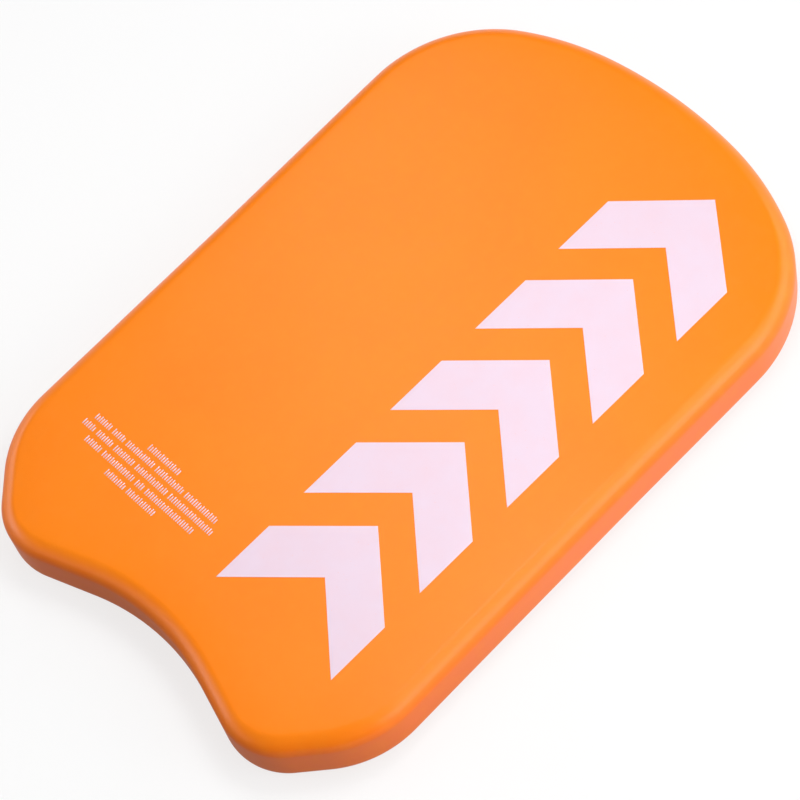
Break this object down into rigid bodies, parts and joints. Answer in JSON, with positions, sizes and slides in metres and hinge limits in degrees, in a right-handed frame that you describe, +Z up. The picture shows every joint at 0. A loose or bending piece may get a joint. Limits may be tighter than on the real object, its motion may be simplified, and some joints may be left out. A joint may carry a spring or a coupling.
{
  "type": "kickboard",
  "caption": "Swimming kickboard: a flat closed-cell foam float with a rounded nose, parallel sides, a shallow notch in the tail and a printed chevron band.",
  "frame": {"origin": "centre of the board's length and width, on the flat underside", "axes": "+Y towards the rounded nose, +X towards the board's right side seen from above, the side that carries the chevron band, +Z up out of the printed top face"},
  "size_m": [0.285, 0.43, 0.0402],
  "materials": {
    "foam": "satin moulded skin of closed-cell EVA foam",
    "ink": "smooth pale pink printed ink"
  },
  "bodies": {
    "root": {"foam_board": "foam", "deck_chevron_1": "ink", "deck_chevron_2": "ink", "deck_chevron_3": "ink", "deck_chevron_4": "ink", "deck_chevron_5": "ink", "notice_row_1": "ink", "notice_row_2": "ink", "notice_row_3": "ink", "notice_row_4": "ink", "notice_row_5": "ink"}
  },
  "joints": []
}
